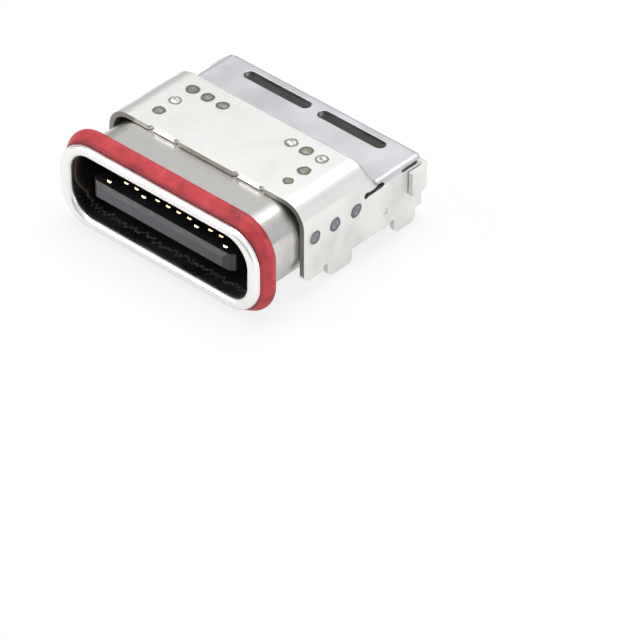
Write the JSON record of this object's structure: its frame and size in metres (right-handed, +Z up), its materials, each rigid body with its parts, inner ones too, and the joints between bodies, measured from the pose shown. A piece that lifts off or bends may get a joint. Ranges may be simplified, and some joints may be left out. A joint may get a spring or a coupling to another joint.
{
  "type": "usb-c socket",
  "caption": "Sealed reversible socket for a circuit board: drawn metal tube with a flanged mouth and red rubber ring, black contact tongue, and a welded sheet cover with board legs.",
  "frame": {"origin": "middle of the mouth, in the plane of the flange's front face", "axes": "+Y runs into the socket, from the mouth to the rear wall, so the mouth faces -Y. +Z points up, away from the board. +X points right, as seen looking into the mouth."},
  "size_m": [0.0098, 0.0088, 0.004],
  "materials": {
    "drawn_steel": "bright drawn stainless tube, smooth, white at the rolled lip",
    "seal_rubber": "dark red silicone, matte and a little mottled",
    "cover_steel": "light satin nickel-washed sheet with dull grey weld spots",
    "tongue_plastic": "black glass-filled plastic, satin",
    "carrier_plastic": "black glass-filled plastic, satin",
    "plate_steel": "plain stamped sheet, satin",
    "contact_plating": "pale gold plating, bright",
    "sealant_resin": "black resin, level and semi-gloss"
  },
  "bodies": {
    "root": {"inner_shell": "drawn_steel", "seal_ring": "seal_rubber", "cover_shell": "cover_steel", "tongue_overmould": "tongue_plastic", "upper_contact_carrier": "carrier_plastic", "lower_contact_carrier": "carrier_plastic", "mid_plate": "plate_steel", "upper_ground_plate": "plate_steel", "lower_ground_plate": "plate_steel", "rear_sealant": "sealant_resin", "upper_contact_1": "contact_plating", "upper_contact_2": "contact_plating", "upper_contact_3": "contact_plating", "upper_contact_4": "contact_plating", "upper_contact_5": "contact_plating", "upper_contact_6": "contact_plating", "upper_contact_7": "contact_plating", "upper_contact_8": "contact_plating", "upper_contact_9": "contact_plating", "upper_contact_10": "contact_plating", "upper_contact_11": "contact_plating", "upper_contact_12": "contact_plating", "lower_contact_1": "contact_plating", "lower_contact_2": "contact_plating", "lower_contact_3": "contact_plating", "lower_contact_4": "contact_plating", "lower_contact_5": "contact_plating", "lower_contact_6": "contact_plating", "lower_contact_7": "contact_plating", "lower_contact_8": "contact_plating", "lower_contact_9": "contact_plating", "lower_contact_10": "contact_plating", "lower_contact_11": "contact_plating", "lower_contact_12": "contact_plating"}
  },
  "joints": []
}
